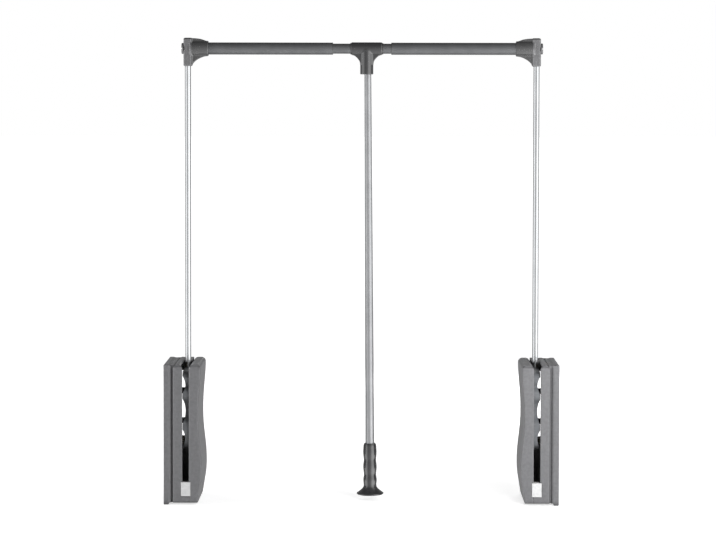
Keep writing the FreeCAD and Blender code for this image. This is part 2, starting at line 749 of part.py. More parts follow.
# ---- pull pole ----
def gusset():
    """Web between the tee's sleeve and stem, with a hollow edge on each side."""
    in_x = stem_radius - gusset_bite
    low = bar_height - tee_radius - gusset_drop
    high = bar_height - tee_radius + gusset_bite
    mid_z = bar_height - tee_radius - gusset_mid_drop
    corners = [V(tee_offset + x, -gusset_half, z) for x, z in
               ((-in_x, low), (-gusset_mid_reach, mid_z), (-gusset_reach, high),
                (gusset_reach, high), (gusset_mid_reach, mid_z), (in_x, low))]
    outline = Part.Wire([Part.Arc(corners[0], corners[1], corners[2]).toShape(),
                         Part.makeLine(corners[2], corners[3]),
                         Part.Arc(corners[3], corners[4], corners[5]).toShape(),
                         Part.makeLine(corners[5], corners[0])])
    return Part.Face(outline).extrude(V(0, 2 * gusset_half, 0))


def tee():
    low, high = tee_offset - tee_half, tee_offset + tee_half
    sleeve = along(low, high, tee_radius)
    bar_bore = along(low - through, high + through, inner_tube_radius + run_gap)
    end_round = min(tee_round, tee_radius - inner_tube_radius - pad_round)
    sleeve = rounded(sleeve, end_round, lambda b: is_at(b.XMin, b.XMax, low)
                     or is_at(b.XMin, b.XMax, high))
    stem = upright(tee_offset, 0, stem_foot, bar_height, stem_radius)
    stem = rounded(stem, stem_round, lambda b: is_at(b.ZMin, b.ZMax, stem_foot))
    stem = stem.cut(along(low, high, tee_radius - run_gap))
    body = sleeve.fuse(stem).fuse(gusset())
    socket = upright(pole_x, 0, stem_foot - through, pole_top + run_gap, pole_top_radius + pole_play)
    screw_bore = Part.makeCylinder(pole_screw_radius + seat_gap, stem_radius + through,
                                   V(pole_x, 0, stem_foot + pole_seat / 2.0), Y_AXIS)
    return body.cut([bar_bore, socket, screw_bore]).removeSplitter()


def lean(shape):
    """Turn a pole piece about its socket, so that it hangs a little out of square."""
    leaning = shape.copy()
    leaning.rotate(V(pole_x, 0, stem_foot + pole_seat / 2.0), Y_AXIS, -pole_lean_deg)
    return leaning


def pole_radius(z):
    """Outside radius of the tapered pole at a height."""
    share = (pole_top - z) / (pole_top - pole_foot)
    return pole_top_radius + (pole_foot_radius - pole_top_radius) * share


def pole_cone(low, high, inset):
    """Part of the pole's taper between two heights, moved in by an inset."""
    return Part.makeCone(pole_radius(low) - inset, pole_radius(high) - inset, high - low,
                         V(pole_x, 0, low), Z_AXIS)


def pull_pole():
    return lean(pole_cone(pole_foot, pole_top, 0).cut(pole_cone(pole_foot, pole_top, pole_wall)))


def pole_screw():
    z = stem_foot + pole_seat / 2.0
    start = pole_top_radius + pole_play
    end = math.sqrt(stem_radius ** 2 - pole_offset ** 2)
    shank = Part.makeCylinder(pole_screw_radius, end - start, V(pole_x, start, z), Y_AXIS)
    socket = Part.makeCylinder(hex_socket_radius, hex_socket_depth + through,
                               V(pole_x, end - hex_socket_depth, z), Y_AXIS)
    return shank.cut(socket)


def grip():
    """Turned profile: flared foot, three bulges with necks between them, and a collar."""
    points = [V(pole_x + radius, 0, grip_foot + rise) for rise, radius in grip_profile]
    points[-1].z = grip_foot + grip_length
    curve = Part.BSplineCurve()
    curve.interpolate(points)
    foot = V(pole_x, 0, grip_foot)
    crown = V(pole_x, 0, grip_foot + grip_length)
    wire = Part.Wire([Part.makeLine(foot, points[0]), curve.toShape(),
                      Part.makeLine(points[-1], crown), Part.makeLine(crown, foot)])
    body = Part.Face(wire).revolve(foot, Z_AXIS, 360)
    return lean(body.cut(pole_cone(pole_foot, grip_foot + grip_length + through, 0)))


# ---- write every node ----
side_pieces = {
    "mounting_base": mounting_base, "outer_shell": outer_shell, "inner_cover": inner_cover,
    "stop_pad": stop_pad, "cover_screws": cover_screws, "chassis_plate": chassis_plate,
    "rest_posts": rest_posts, "rest_bumpers": rest_bumpers, "pivot_pin": pivot_pin,
    "pivot_sleeve": pivot_sleeve, "inner_plate": inner_plate, "spring_seat": spring_seat,
    "lever": lever, "pivot_bush": pivot_bush, "cam": cam, "cam_shoe": cam_shoe,
    "crosshead": crosshead, "damper_rod": damper_rod, "damper_cylinder": damper_cylinder,
    "springs": springs, "arm": arm, "elbow": elbow, "elbow_plug": elbow_plug,
    "outer_tube": outer_tube, "glide_bush": glide_bush,
}
middle_pieces = {
    "inner_tube": inner_tube, "retaining_rings": retaining_rings, "tee": tee,
    "pull_pole": pull_pole, "pole_screw": pole_screw, "grip": grip,
}

os.makedirs("parts", exist_ok=True)
for name, make in side_pieces.items():
    right = make()
    right.exportStep("parts/right_%s.step" % name)
    right.mirror(V(0, 0, 0), X_AXIS).exportStep("parts/left_%s.step" % name)
for name, make in middle_pieces.items():
    make().exportStep("parts/%s.step" % name)
print("swing %.2f degrees, cam rise %.3f mm" % (swing_deg, cam_rise))
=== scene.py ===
"""Pull down closet rod, finished for display: two wall housings, two swinging arms,
a telescopic bar and a pull pole. Metres, +Z up, -Y towards the person who uses it."""
import math

import bpy
import numpy as np
from mathutils import Matrix, Vector


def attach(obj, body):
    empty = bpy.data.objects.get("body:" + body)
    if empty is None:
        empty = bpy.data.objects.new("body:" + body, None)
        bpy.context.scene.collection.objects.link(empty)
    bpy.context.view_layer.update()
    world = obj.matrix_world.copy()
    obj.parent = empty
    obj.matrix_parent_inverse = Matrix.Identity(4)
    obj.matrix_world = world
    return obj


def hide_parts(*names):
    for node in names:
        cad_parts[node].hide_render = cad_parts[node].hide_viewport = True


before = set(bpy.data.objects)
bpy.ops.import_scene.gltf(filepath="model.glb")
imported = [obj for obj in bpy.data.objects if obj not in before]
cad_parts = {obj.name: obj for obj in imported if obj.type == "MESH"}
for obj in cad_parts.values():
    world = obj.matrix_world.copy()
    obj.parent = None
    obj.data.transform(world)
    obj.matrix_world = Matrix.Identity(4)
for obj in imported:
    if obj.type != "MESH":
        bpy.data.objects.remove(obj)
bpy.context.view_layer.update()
MM = 0.001
SIDES = ("left", "right")


# ---- Housing mouldings ---------------------------------------------------------------------------
# Each housing is three injection mouldings in grey glass-filled nylon: the base that the wall
# screws hold, the outer shell and the wavy inner cover. Their moulds are spark-eroded, which
# gives the matt, finely pebbled skin.
def linear(code):
    """An sRGB hex value as linear RGBA: the standard sRGB curve, channel by channel."""
    channels = np.array([int(code[i:i + 2], 16) for i in (1, 3, 5)]) / 255.0
    light = np.where(channels <= 0.04045, channels / 12.92, ((channels + 0.055) / 1.055) ** 2.4)
    return (*light.tolist(), 1.0)


def add(tree, kind, inputs=None, **settings):
    """Adds one node. Settings are its own properties; inputs are values or sockets to link from."""
    node = tree.nodes.new(kind)
    for key, value in settings.items():
        setattr(node, key, value)
    for socket, value in (inputs or {}).items():
        if isinstance(value, bpy.types.NodeSocket):
            tree.links.new(value, node.inputs[socket])
        else:
            node.inputs[socket].default_value = value
    return node


def blank(name):
    """A new material: its node tree, its Principled shader and its Object coordinates."""
    material = bpy.data.materials.new(name)
    material.use_nodes = True
    tree = material.node_tree
    shader = tree.nodes["Principled BSDF"]
    place = add(tree, "ShaderNodeTexCoord").outputs["Object"]
    return material, tree, shader, place


def mottled(tree, place, size, low, high):
    """Colour that wanders between two hex values over patches of the given size in metres. The
    middle third of the noise carries the change."""
    noise = add(tree, "ShaderNodeTexNoise", {"Vector": place, "Scale": 1.0 / size, "Detail": 3.0})
    ramp = add(tree, "ShaderNodeValToRGB", {"Fac": noise.outputs["Fac"]})
    for end, position, code in zip(ramp.color_ramp.elements, (0.35, 0.65), (low, high)):
        end.position = position
        end.color = linear(code)
    return ramp.outputs["Color"]


def pebbled(tree, place, size, depth, softened=0.0):
    """Normal of a spark-eroded or cast skin: noise of the given grain and depth in metres. Where a
    radius is given, the grain lies over edges that look rounded by it."""
    grain = add(tree, "ShaderNodeTexNoise", {"Vector": place, "Scale": 1.0 / size, "Detail": 4.0,
                                             "Roughness": 0.6})
    bump = add(tree, "ShaderNodeBump", {"Height": grain.outputs["Fac"], "Strength": 0.6,
                                        "Distance": depth})
    if softened:
        edge = add(tree, "ShaderNodeBevel", {"Radius": softened}, samples=8)
        tree.links.new(edge.outputs["Normal"], bump.inputs["Normal"])
    return bump.outputs["Normal"]


# A Mix node's kinds share the names of their sockets, so those of a colour mix go by number.
MIX_SHARE, MIX_UNDER, MIX_OVER, MIX_RESULT = 0, 6, 7, 2


def painted_groove_shade(tree, color, reach, power):
    """A colour darkened with painted shade in grooves and recesses: multiplied by the part of the
    surroundings that is open within a reach in metres, raised to a power."""
    opening = add(tree, "ShaderNodeAmbientOcclusion", {"Distance": reach}, samples=8)
    share = add(tree, "ShaderNodeMath", {0: opening.outputs["AO"], 1: power}, operation="POWER")
    darker = add(tree, "ShaderNodeMix", {MIX_SHARE: 1.0, MIX_UNDER: color,
                                         MIX_OVER: share.outputs["Value"]},
                 data_type="RGBA", blend_type="MULTIPLY")
    return darker.outputs[MIX_RESULT]


def plug_in(tree, shader, **links):
    """Links sockets to the shader's inputs, which are named with _ for a space."""
    for name, socket in links.items():
        tree.links.new(socket, shader.inputs[name.replace("_", " ")])


def dress(names, material):
    """Gives CAD nodes one finish."""
    for name in names:
        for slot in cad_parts[name].material_slots:
            slot.material = material


def both(*pieces):
    """The names of a piece's two nodes, left and right, for each piece."""
    return [side + "_" + piece for piece in pieces for side in SIDES]


# Glass-filled nylon, moulded: matt, so the light spreads wide over it. The real grain of about
# 0.2 mm is too fine to show and is drawn at 0.9 mm. Its edges look soft, and its grooves are
# darkened with painted shade.
NYLON_PATCH = 5.0 * MM
NYLON_GRAIN = 0.9 * MM
NYLON_GRAIN_DEPTH = 0.05 * MM
NYLON_EDGE = 4.0 * MM
GROOVE_SHADE_REACH = 10.0 * MM
nylon, tree, shader, place = blank("moulded_grey_nylon")
shader.inputs["Roughness"].default_value = 0.34
shader.inputs["IOR"].default_value = 1.53
nylon_grey = mottled(tree, place, NYLON_PATCH, "#6c6c6e", "#747476")
# Painted shade: the grey darkens in grooves and recesses by how closed in they are.
plug_in(tree, shader, Base_Color=painted_groove_shade(tree, nylon_grey, GROOVE_SHADE_REACH, 1.0),
        Normal=pebbled(tree, place, NYLON_GRAIN, NYLON_GRAIN_DEPTH, NYLON_EDGE))
dress(both("mounting_base", "outer_shell", "inner_cover"), nylon)

# ---- Stop pads -----------------------------------------------------------------------------------
# A white thermoplastic rubber pad closes the foot of each slot; the lever lands on it. Moulded
# smooth, it is faintly cloudy and soft-edged.
rubber, tree, shader, place = blank("white_moulded_rubber")
shader.inputs["Roughness"].default_value = 0.55
shader.inputs["IOR"].default_value = 1.5
plug_in(tree, shader, Base_Color=mottled(tree, place, 4.0 * MM, "#cfd0d0", "#dcdcdc"),
        Normal=pebbled(tree, place, 1.2 * MM, 0.04 * MM))
dress(both("stop_pad"), rubber)

# ---- Chassis, rest posts and bumpers -------------------------------------------------------------
# Pressed steel plates, phosphated and oiled to a dark olive brown, carry the pin and the springs.
# The damper's cylinder has the same finish. Turned posts are riveted into the plates, each with a
# black rubber sleeve that the lever rests against.
plate_steel, tree, shader, place = blank("phosphated_steel_plate")
shader.inputs["Roughness"].default_value = 0.42
shader.inputs["IOR"].default_value = 1.5
plug_in(tree, shader, Base_Color=mottled(tree, place, 9.0 * MM, "#4a463a", "#585244"),
        Normal=pebbled(tree, place, 1.5 * MM, 0.05 * MM))
dress(both("chassis_plate", "inner_plate", "damper_cylinder"), plate_steel)

black_rubber, tree, shader, place = blank("black_moulded_rubber")
shader.inputs["Roughness"].default_value = 0.6
shader.inputs["IOR"].default_value = 1.52
plug_in(tree, shader, Base_Color=mottled(tree, place, 3.0 * MM, "#1a1a1a", "#232323"),
        Normal=pebbled(tree, place, 0.8 * MM, 0.04 * MM))
dress(both("rest_bumpers"), black_rubber)

# ---- Pins, screws and rods -----------------------------------------------------------------------
# Steel turned or rolled and then zinc plated: bright grey with a slight blue cast and fine rings
# left by the tool.
zinc, tree, shader, place = blank("zinc_plated_steel")
shader.inputs["Metallic"].default_value = 1.0
shader.inputs["Roughness"].default_value = 0.32
plug_in(tree, shader, Base_Color=mottled(tree, place, 2.5 * MM, "#9fa3a8", "#b4b8bc"),
        Normal=pebbled(tree, place, 0.5 * MM, 0.02 * MM))
dress(both("cover_screws", "pivot_pin", "damper_rod", "rest_posts") + ["pole_screw"], zinc)

# ---- Nylon sleeves, bushes and shoes -------------------------------------------------------------
# Natural nylon, machined or moulded: cream, a little waxy and translucent, so light enters it.
natural_nylon, tree, shader, place = blank("natural_nylon")
shader.inputs["Roughness"].default_value = 0.38
shader.inputs["IOR"].default_value = 1.53
shader.inputs["Subsurface Weight"].default_value = 0.15
shader.inputs["Subsurface Radius"].default_value = (1.5 * MM, 1.3 * MM, 1.0 * MM)
shader.inputs["Subsurface Scale"].default_value = 1.0
plug_in(tree, shader, Base_Color=mottled(tree, place, 5.0 * MM, "#e6ded0", "#f0e9dc"))
dress(both("pivot_sleeve", "pivot_bush", "cam_shoe"), natural_nylon)

# ---- Cam, crosshead, spring seat and springs -----------------------------------------------------
# Sintered and pressed steel under brown grease, with a phosphated spring pair. The grease pools
# in patches, which makes the steel glossier and browner there.
GREASE_PATCH = 6.0 * MM
greased, tree, shader, place = blank("greased_sintered_steel")
shader.inputs["Metallic"].default_value = 0.55
shader.inputs["Coat Weight"].default_value = 0.5
shader.inputs["Coat Roughness"].default_value = 0.2
patch = add(tree, "ShaderNodeTexNoise", {"Vector": place, "Scale": 1.0 / GREASE_PATCH,
                                         "Detail": 2.0})
shine = add(tree, "ShaderNodeMapRange", {"Value": patch.outputs["Fac"],
                                         "To Min": 0.25, "To Max": 0.6})
plug_in(tree, shader, Base_Color=mottled(tree, place, GREASE_PATCH, "#3a2a22", "#5a4238"),
        Roughness=shine.outputs["Result"], Normal=pebbled(tree, place, 1.0 * MM, 0.06 * MM))
dress(both("cam", "crosshead", "spring_seat"), greased)

spring_steel, tree, shader, place = blank("phosphated_spring_steel")
shader.inputs["Metallic"].default_value = 0.85
shader.inputs["Roughness"].default_value = 0.4
plug_in(tree, shader, Base_Color=mottled(tree, place, 3.0 * MM, "#3c3a33", "#4d4a40"))
dress(both("springs"), spring_steel)

# ---- Levers --------------------------------------------------------------------------------------
# A zinc die casting, powder coated in the housing's grey; the coat's orange peel is just visible.
coated_zinc, tree, shader, place = blank("powder_coated_die_casting")
shader.inputs["Roughness"].default_value = 0.4
shader.inputs["IOR"].default_value = 1.5
plug_in(tree, shader, Base_Color=mottled(tree, place, 7.0 * MM, "#636568", "#6c6e71"),
        Normal=pebbled(tree, place, 1.6 * MM, 0.08 * MM))
dress(both("lever"), coated_zinc)

# ---- Arms ----------------------------------------------------------------------------------------
# Drawn steel tube, polished and chromium plated: a mirror with the faintest lines along its length.
DRAW_LINE = 0.7 * MM
ALONG_X = (0.01, 1.0, 1.0)      # scales that stretch a pattern a hundred times along one axis
ALONG_Z = (1.0, 1.0, 0.01)


def drawn(tree, place, way, detail, strength, depth):
    """Normal of the lines that drawing or brushing leaves along a tube: noise of a depth in metres,
    stretched along one axis. The real lines are finer and are drawn as coarse as they need to
    show."""
    stretch = add(tree, "ShaderNodeMapping", {"Vector": place, "Scale": way})
    lines = add(tree, "ShaderNodeTexNoise", {"Vector": stretch.outputs["Vector"],
                                             "Scale": 1.0 / DRAW_LINE, "Detail": detail})
    return add(tree, "ShaderNodeBump", {"Height": lines.outputs["Fac"], "Strength": strength,
                                        "Distance": depth}).outputs["Normal"]


chrome, tree, shader, place = blank("chrome_plated_steel")
shader.inputs["Metallic"].default_value = 1.0
shader.inputs["Roughness"].default_value = 0.27
plug_in(tree, shader, Base_Color=mottled(tree, place, 30.0 * MM, "#d0d2d4", "#d8dadc"),
        Normal=drawn(tree, place, ALONG_Z, 2.0, 0.03, 0.01 * MM))
dress(both("arm"), chrome)

# ---- Elbows --------------------------------------------------------------------------------------
# Each elbow is one ABS moulding: an upright block that the arm is pressed into, a round socket for
# the bar and a thin web under and over the socket. The mould's corners are all rounded, so block,
# socket and web flow into each other. A round plug closes the hole behind the bar's end.
# Sizes are in millimetres; heights count from the bar's axis, reaches from the arm's.
CELL = 0.55              # cubes that the mouldings are meshed with
MARGIN = 1.0             # room around a moulding
BEYOND = 9.0             # a hole runs this far past the face that it opens
FIT = 0.1                # room around a piece in its seat
FLOOR_ROUND = 0.2        # round at the bottom of a hole
RIM_ROUND = 0.8          # round at a hole's mouth
ARM_AXIS = 320.0         # from the middle
BAR_HEIGHT = 831.5       # above the floor
BLOCK_HALF_WIDTH = 7.6
BLOCK_HALF_DEPTH = 9.0
BLOCK_TOP = 19.2
BLOCK_FOOT = -32.5
BLOCK_ROUND = 2.6
SOCKET_START = 4.0
SOCKET_RADIUS = 13.9
SOCKET_SWELL = 0.4       # the socket grows by this between two reaches
SWELL_START = 8.0
SWELL_LENGTH = 12.0
SOCKET_MOUTH = 38.0
SOCKET_ROUND = 1.4
WEB_HALF = 5.4
WEB_ROUND = 0.9
WEB_BACK = -4.0
WEB_FOOT = BLOCK_FOOT + 1.6
WEB_TOP = BLOCK_TOP - 0.4
WEB_UNDER = ((BLOCK_HALF_WIDTH, WEB_FOOT), (17.2, -20.6), (SOCKET_MOUTH - 2.4, -12.9))
WEB_OVER = ((SOCKET_MOUTH - 4.0, 12.6), (25.5, 16.9), (11.0, WEB_TOP))
MELT = 2.4               # fillet between block, socket and web
BAR_RADIUS = 11.1
BAR_SEAT = 15.0
ARM_RADIUS = 5.5
ARM_TOP = -14.1
PLUG_RADIUS = 5.0
PLUG_SHANK = 3.0
ELBOW_HALF_DEPTH = 14.5


def disc(along, across, low, high, radius, edge):
    """Signed distance to a round bar: a rectangle in (along, across) with rounded corners, turned
    about the axis. Where across is a distance from a plane, it is a rounded plate instead."""
    over_end = np.abs(along - (low + high) / 2) - (high - low) / 2 + edge
    over_side = across - radius + edge
    outside = np.hypot(np.maximum(over_end, 0), np.maximum(over_side, 0))
    return outside + np.minimum(np.maximum(over_end, over_side), 0) - edge


def brick(x, y, z, low, high, edge):
    """Signed distance to a box between two corners, with all of its edges rounded."""
    over = [np.abs(at - (a + b) / 2) - (b - a) / 2 + edge for at, a, b in zip((x, y, z), low, high)]
    outside = np.sqrt(sum(np.maximum(part, 0) ** 2 for part in over))
    return outside + np.minimum(np.maximum(np.maximum(over[0], over[1]), over[2]), 0) - edge


def plate(x, z, corners):
    """Signed distance in the XZ plane to a closed outline: the least distance to a side, negative
    where a ray to +X crosses the outline an odd number of times."""
    nearest = np.full(x.shape, np.inf)
    inside = np.zeros(x.shape, bool)
    for (ax, az), (bx, bz) in zip(corners, np.roll(corners, -1, axis=0)):
        share = np.clip(((x - ax) * (bx - ax) + (z - az) * (bz - az))
                        / ((bx - ax) ** 2 + (bz - az) ** 2), 0, 1)
        nearest = np.minimum(nearest, np.hypot(x - ax - share * (bx - ax),
                                               z - az - share * (bz - az)))
        if az != bz:
            inside ^= ((az > z) != (bz > z)) & (x < ax + (z - az) / (bz - az) * (bx - ax))
    return np.where(inside, -nearest, nearest)


def arc(start, middle, end, count):
    """Points on the parabola from start to end that passes through middle at its half."""
    t = np.linspace(0, 1, count)[:, None]
    start, middle, end = (np.array(point, float) for point in (start, middle, end))
    hinge = 2 * middle - (start + end) / 2
    return (1 - t) ** 2 * start + 2 * t * (1 - t) * hinge + t ** 2 * end


def melt(a, b, width):
    """The nearer of two distances, rounded into a fillet where they differ by less than width."""
    return np.minimum(a, b) - np.maximum(width - np.abs(a - b), 0) ** 2 / (4 * width)


def bored(body, hole):
    """A body less a hole, with the hole's rim rounded."""
    return -melt(-body, hole, RIM_ROUND)


def skin(name, field, low, high):
    """Mesh of the surface where a field of (x, y, z) is zero, in millimetres. The box is divided
    into cubes; each cube that the surface crosses gets one vertex, at the mean of the crossings of
    its edges, which is then moved along the field's gradient onto the surface. Each cube edge that
    the surface crosses gets one quad between the four cubes around it."""
    # How often a vertex is moved, the step that slopes are measured over, and the least squared
    # slope that a move divides by.
    moves, nudge, flattest = 4, 0.01, 0.2
    lines = [np.arange(a, b + CELL, CELL) for a, b in zip(low, high)]
    value = field(*np.meshgrid(*lines, indexing="ij"))
    shape = np.array(value.shape) - 1
    inside = value < 0
    corners = [(i, j, k) for i in (0, 1) for j in (0, 1) for k in (0, 1)]

    def part(array, corner):
        """The cubes' values at one of their eight corners."""
        return array[tuple(slice(c, c + n) for c, n in zip(corner, shape))]

    filled = sum(part(inside, corner).astype(int) for corner in corners)
    crossed = (filled > 0) & (filled < 8)
    total = np.zeros((int(crossed.sum()), 3))
    count = np.zeros(len(total))
    for corner in corners:
        for axis in range(3):
            if corner[axis]:
                continue
            far = tuple(c + (axis == d) for d, c in enumerate(corner))
            a, b = part(value, corner)[crossed], part(value, far)[crossed]
            cut = (a < 0) != (b < 0)
            spot = np.tile(np.array(corner, float), (len(a), 1))
            spot[:, axis] += np.where(cut, a / np.where(cut, a - b, 1.0), 0)
            total += spot * cut[:, None]
            count += cut
    where = np.argwhere(crossed)
    points = np.array(low) + (where + total / count[:, None]) * CELL
    for _ in range(moves):
        slope = np.stack([(field(*(points + way).T) - field(*(points - way).T)) / (2 * nudge)
                          for way in nudge * np.eye(3)], axis=1)
        move = field(*points.T) / np.maximum((slope ** 2).sum(axis=1), flattest)
        points -= np.clip(move, -CELL / 3, CELL / 3)[:, None] * slope
    index = np.full(crossed.shape, -1)
    index[crossed] = np.arange(len(points))
    quads = []
    for axis in range(3):
        second, third = (axis + 1) % 3, (axis + 2) % 3
        ahead = np.moveaxis(inside, (axis, second, third), (0, 1, 2))[:, 1:-1, 1:-1]
        cells = np.moveaxis(index, (axis, second, third), (0, 1, 2))
        ring = np.stack([cells[:, :-1, :-1], cells[:, 1:, :-1],
                         cells[:, 1:, 1:], cells[:, :-1, 1:]], -1)
        out = ahead[:-1] & ~ahead[1:]
        back = ~ahead[:-1] & ahead[1:]
        quads += [ring[out], ring[back][:, ::-1]]
    return whole(name, points * MM, np.concatenate(quads))


def whole(name, points, quads):
    """A smooth-shaded object from vertex and quad arrays."""
    mesh = bpy.data.meshes.new(name)
    mesh.from_pydata(points, [], quads)
    mesh.shade_smooth()
    thing = bpy.data.objects.new(name, mesh)
    bpy.context.scene.collection.objects.link(thing)
    return thing


def elbow_field(reach, y, rise):
    """Elbow's signed distance. reach runs inward from the arm's axis, rise up from the bar's."""
    around_bar = np.hypot(y, rise)
    block = brick(reach, y, rise, (-BLOCK_HALF_WIDTH, -BLOCK_HALF_DEPTH, BLOCK_FOOT),
                  (BLOCK_HALF_WIDTH, BLOCK_HALF_DEPTH, BLOCK_TOP), BLOCK_ROUND)
    narrower = SOCKET_SWELL * (1 - np.clip((reach - SWELL_START) / SWELL_LENGTH, 0, 1))
    socket = disc(reach, around_bar + narrower, SOCKET_START, SOCKET_MOUTH, SOCKET_RADIUS,
                  SOCKET_ROUND)
    outline = np.concatenate([arc(*WEB_UNDER, 14), arc(*WEB_OVER, 8),
                              [(WEB_BACK, WEB_TOP), (WEB_BACK, WEB_FOOT)]])
    web = disc(y, plate(reach, rise, outline), -WEB_HALF, WEB_HALF, 0.0, WEB_ROUND)
    body = melt(melt(block, socket, MELT), web, MELT)
    bar_hole = disc(reach, around_bar, BAR_SEAT, SOCKET_MOUTH + BEYOND, BAR_RADIUS + FIT,
                    FLOOR_ROUND)
    arm_hole = disc(rise, np.hypot(reach, y), BLOCK_FOOT - BEYOND, ARM_TOP + FIT, ARM_RADIUS + FIT,
                    FLOOR_ROUND)
    plug_hole = disc(reach, around_bar, -BLOCK_HALF_WIDTH - BEYOND,
                     -BLOCK_HALF_WIDTH + PLUG_SHANK + FIT, PLUG_RADIUS + FIT, FLOOR_ROUND)
    for hole in (bar_hole, arm_hole, plug_hole):
        body = bored(body, hole)
    return body


# ABS, moulded: semi-gloss, a little cloudy, and wavy where thick walls sank as they cooled. The
# block's flat sides are painted mid grey as painted light, while the socket, the web and the
# block's crown are painted darker as painted shade. Both greys carry painted shade in grooves.
ABS_PATCH = 8.0 * MM
SINK_WAVE = 6.0 * MM
SINK_DEPTH = 0.10 * MM
SHADED_CROWN = 3.0 * MM
SIDE_BLUR = 0.6 * MM
SHADED_CROWN_BLUR = 1.0 * MM
abs_grey, tree, shader, place = blank("moulded_grey_abs")
shader.inputs["Roughness"].default_value = 0.22
shader.inputs["IOR"].default_value = 1.54
shader.inputs["Specular IOR Level"].default_value = 1.0
shader.inputs["Coat Weight"].default_value = 0.8
shader.inputs["Coat Roughness"].default_value = 0.15
parts = add(tree, "ShaderNodeSeparateXYZ", {"Vector": place})
aside = add(tree, "ShaderNodeMath", {0: parts.outputs["X"]}, operation="ABSOLUTE")
side_start = (ARM_AXIS - BLOCK_HALF_WIDTH) * MM
shaded_crown_start = (BAR_HEIGHT + BLOCK_TOP) * MM - SHADED_CROWN
# Painted light: the block's flat sides below the crown get the paler grey; the crown gets painted
# shade.
on_block = add(tree, "ShaderNodeMapRange", {"Value": aside.outputs["Value"],
                                            "From Min": side_start,
                                            "From Max": side_start + SIDE_BLUR})
below_shaded_crown = add(tree, "ShaderNodeMapRange", {"Value": parts.outputs["Z"],
                                               "From Min": shaded_crown_start,
                                               "From Max": shaded_crown_start + SHADED_CROWN_BLUR,
                                               "To Min": 1.0, "To Max": 0.0})
painted_light_share = add(tree, "ShaderNodeMath", {0: on_block.outputs["Result"],
                                      1: below_shaded_crown.outputs["Result"]}, operation="MULTIPLY")
# Painted light and shade: paler grey on the block's sides, darker grey on socket, web and crown.
painted_light_and_shade = add(tree, "ShaderNodeMix",
                {MIX_SHARE: painted_light_share.outputs["Value"],
                 MIX_UNDER: mottled(tree, place, ABS_PATCH, "#363637", "#3e3e3f"),
                 MIX_OVER: mottled(tree, place, ABS_PATCH, "#626264", "#6a6a6c")},
                data_type="RGBA")
# Painted shade darkens both greys in grooves and recesses.
plug_in(tree, shader, Base_Color=painted_groove_shade(tree, painted_light_and_shade.outputs[MIX_RESULT], 7.0 * MM, 1.3),
        Normal=pebbled(tree, place, SINK_WAVE, SINK_DEPTH))
deep = ELBOW_HALF_DEPTH + MARGIN
for side, sign in (("left", -1), ("right", 1)):
    ends = sorted((sign * (ARM_AXIS + BLOCK_HALF_WIDTH + MARGIN),
                   sign * (ARM_AXIS - SOCKET_MOUTH - MARGIN)))
    elbow = skin(side + "_elbow_moulding",
                 lambda x, y, z: elbow_field(ARM_AXIS - sign * x, y, z - BAR_HEIGHT),
                 (ends[0], -deep, BAR_HEIGHT + BLOCK_FOOT - MARGIN),
                 (ends[1], deep, BAR_HEIGHT + BLOCK_TOP + MARGIN))
    elbow.data.materials.append(abs_grey)
    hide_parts(side + "_elbow")
    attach(elbow, side + "_lift")
dress(both("elbow_plug", "glide_bush") + ["retaining_rings"], abs_grey)

# ---- Tee -----------------------------------------------------------------------------------------
# One ABS moulding that turns on the inner tube: a round-ended sleeve, a stem that the pole is
# screwed into, and a web with hollow edges between them. Places count from the sleeve's middle.
TEE_AT = 8.5
TEE_HALF = 28.6
TEE_RADIUS = 11.7
TEE_ROUND = 2.2
TEE_BORE = 9.3
TEE_HALF_DEPTH = 12.5
STEM_RADIUS = 12.0
STEM_TOP = -1.0
STEM_FOOT = -47.0
STEM_ROUND = 1.1
STEM_MELT = 1.6
POLE_AT = 1.9
POLE_HOLE = 6.65
POLE_TOP = -19.0
SCREW_RISE = -33.0
SCREW_HOLE = 2.1
TEE_WEB = ((11.2, -28.5), (16.0, -19.0), (26.0, -10.4))
TEE_WEB_HALF = 7.0
TEE_WEB_ROUND = 1.2
TEE_WEB_MELT = 2.6


def tee_field(x, y, z):
    """Tee's signed distance, from the middle of its sleeve."""
    around_bar = np.hypot(y, z)
    sleeve = disc(x, around_bar, -TEE_HALF, TEE_HALF, TEE_RADIUS, TEE_ROUND)
    stem = disc(z, np.hypot(x, y), STEM_FOOT, STEM_TOP, STEM_RADIUS, STEM_ROUND)
    right = arc(*TEE_WEB, 12)
    outline = np.concatenate([right, right[::-1] * (-1, 1)])
    web = disc(y, plate(x, z, outline), -TEE_WEB_HALF, TEE_WEB_HALF, 0.0, TEE_WEB_ROUND)
    body = melt(melt(sleeve, stem, STEM_MELT), web, TEE_WEB_MELT)
    body = np.maximum(body, -around_bar + TEE_BORE)
    pole_hole = disc(z, np.hypot(x - POLE_AT, y), STEM_FOOT - BEYOND, POLE_TOP, POLE_HOLE,
                     FLOOR_ROUND)
    screw_hole = disc(y, np.hypot(x - POLE_AT, z - SCREW_RISE), 0.0, STEM_RADIUS + BEYOND,
                      SCREW_HOLE, FLOOR_ROUND)
    return bored(bored(body, pole_hole), screw_hole)


